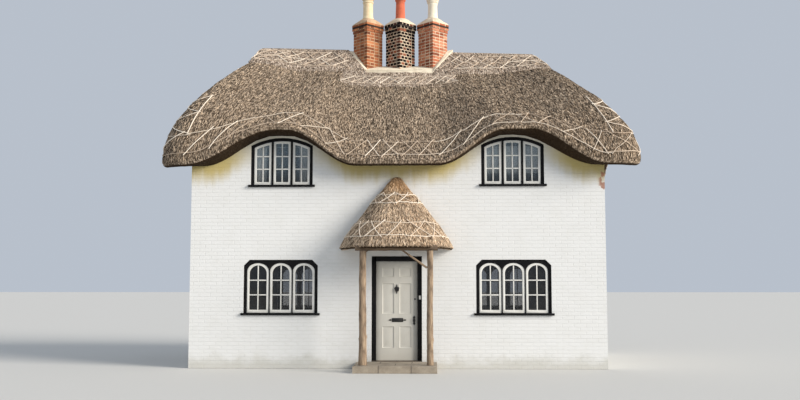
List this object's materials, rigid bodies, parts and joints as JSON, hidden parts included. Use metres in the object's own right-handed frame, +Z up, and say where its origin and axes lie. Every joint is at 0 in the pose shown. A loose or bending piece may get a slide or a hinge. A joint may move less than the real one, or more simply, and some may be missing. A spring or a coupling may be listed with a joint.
{
  "type": "thatched cottage",
  "caption": "Small two-storey cottage with white brick walls, a hipped thatched roof with eyebrows over the upper windows, diagonal brick chimney stacks and a thatched porch on log posts.",
  "frame": {"origin": "centre of the four walls at ground level, under the chimney breast", "axes": "+X to the right as seen facing the front door, +Y from the front to the back, +Z up"},
  "size_m": [9.72, 6.08, 8.2303],
  "materials": {
    "limewash": "white-painted brick, matt and weathered",
    "thatch": "weathered straw, rough",
    "ridge_thatch": "newer straw, rough",
    "brick": "weathered brickwork, matt",
    "mortar": "rough lime mortar",
    "red_clay": "unglazed terracotta",
    "buff_clay": "unglazed buff clay",
    "black_paint": "gloss black paint on wood",
    "white_paint": "satin white paint on wood",
    "cream_paint": "satin cream paint on wood",
    "black_iron": "black painted iron",
    "glass": "clear window glass",
    "log": "bare weathered log",
    "stone_floor": "worn paving",
    "floor_boards": "waxed boards"
  },
  "bodies": {
    "house": {"front_wall_left": "limewash", "front_wall_right": "limewash", "front_wall_over_door": "limewash", "back_wall": "limewash", "left_wall": "limewash", "right_wall": "limewash", "ground_floor": "stone_floor", "upper_floor": "floor_boards", "porch_step": "stone_floor", "thatch_front": "thatch", "thatch_back": "thatch", "thatch_left": "thatch", "thatch_right": "thatch", "ridge_left": "ridge_thatch", "ridge_right": "ridge_thatch", "porch_thatch": "ridge_thatch", "chimney_breast": "brick", "stack_left": "brick", "stack_middle": "brick", "stack_right": "brick", "pot_left": "buff_clay", "pot_middle": "red_clay", "pot_right": "buff_clay", "chimney_apron": "mortar", "window_front_upper_left": "black_paint", "glass_front_upper_left": "glass", "window_front_upper_right": "black_paint", "glass_front_upper_right": "glass", "window_front_lower_left": "black_paint", "glass_front_lower_left": "glass", "window_front_lower_right": "black_paint", "glass_front_lower_right": "glass", "window_back_upper_left": "black_paint", "glass_back_upper_left": "glass", "window_back_upper_right": "black_paint", "glass_back_upper_right": "glass", "window_back_lower_left": "black_paint", "glass_back_lower_left": "glass", "window_back_lower_right": "black_paint", "glass_back_lower_right": "glass", "window_left_upper": "black_paint", "glass_left_upper": "glass", "window_left_lower": "black_paint", "glass_left_lower": "glass", "window_right_upper": "black_paint", "glass_right_upper": "glass", "window_right_lower": "black_paint", "glass_right_lower": "glass", "porch_post_left": "log", "porch_post_right": "log", "porch_brace": "log", "porch_beam": "log", "door_frame": "black_paint"},
    "door": {"door_leaf": "cream_paint", "door_knocker": "black_iron", "letter_plate": "black_iron", "door_pull": "black_iron"}
  },
  "joints": [
    {"name": "door_hinge", "type": "hinge", "parent": "house", "child": "door", "pos_m": [-0.4225, -2.097, 1.15], "axis": [0, 0, 1], "range_deg": [0, 90]}
  ]
}
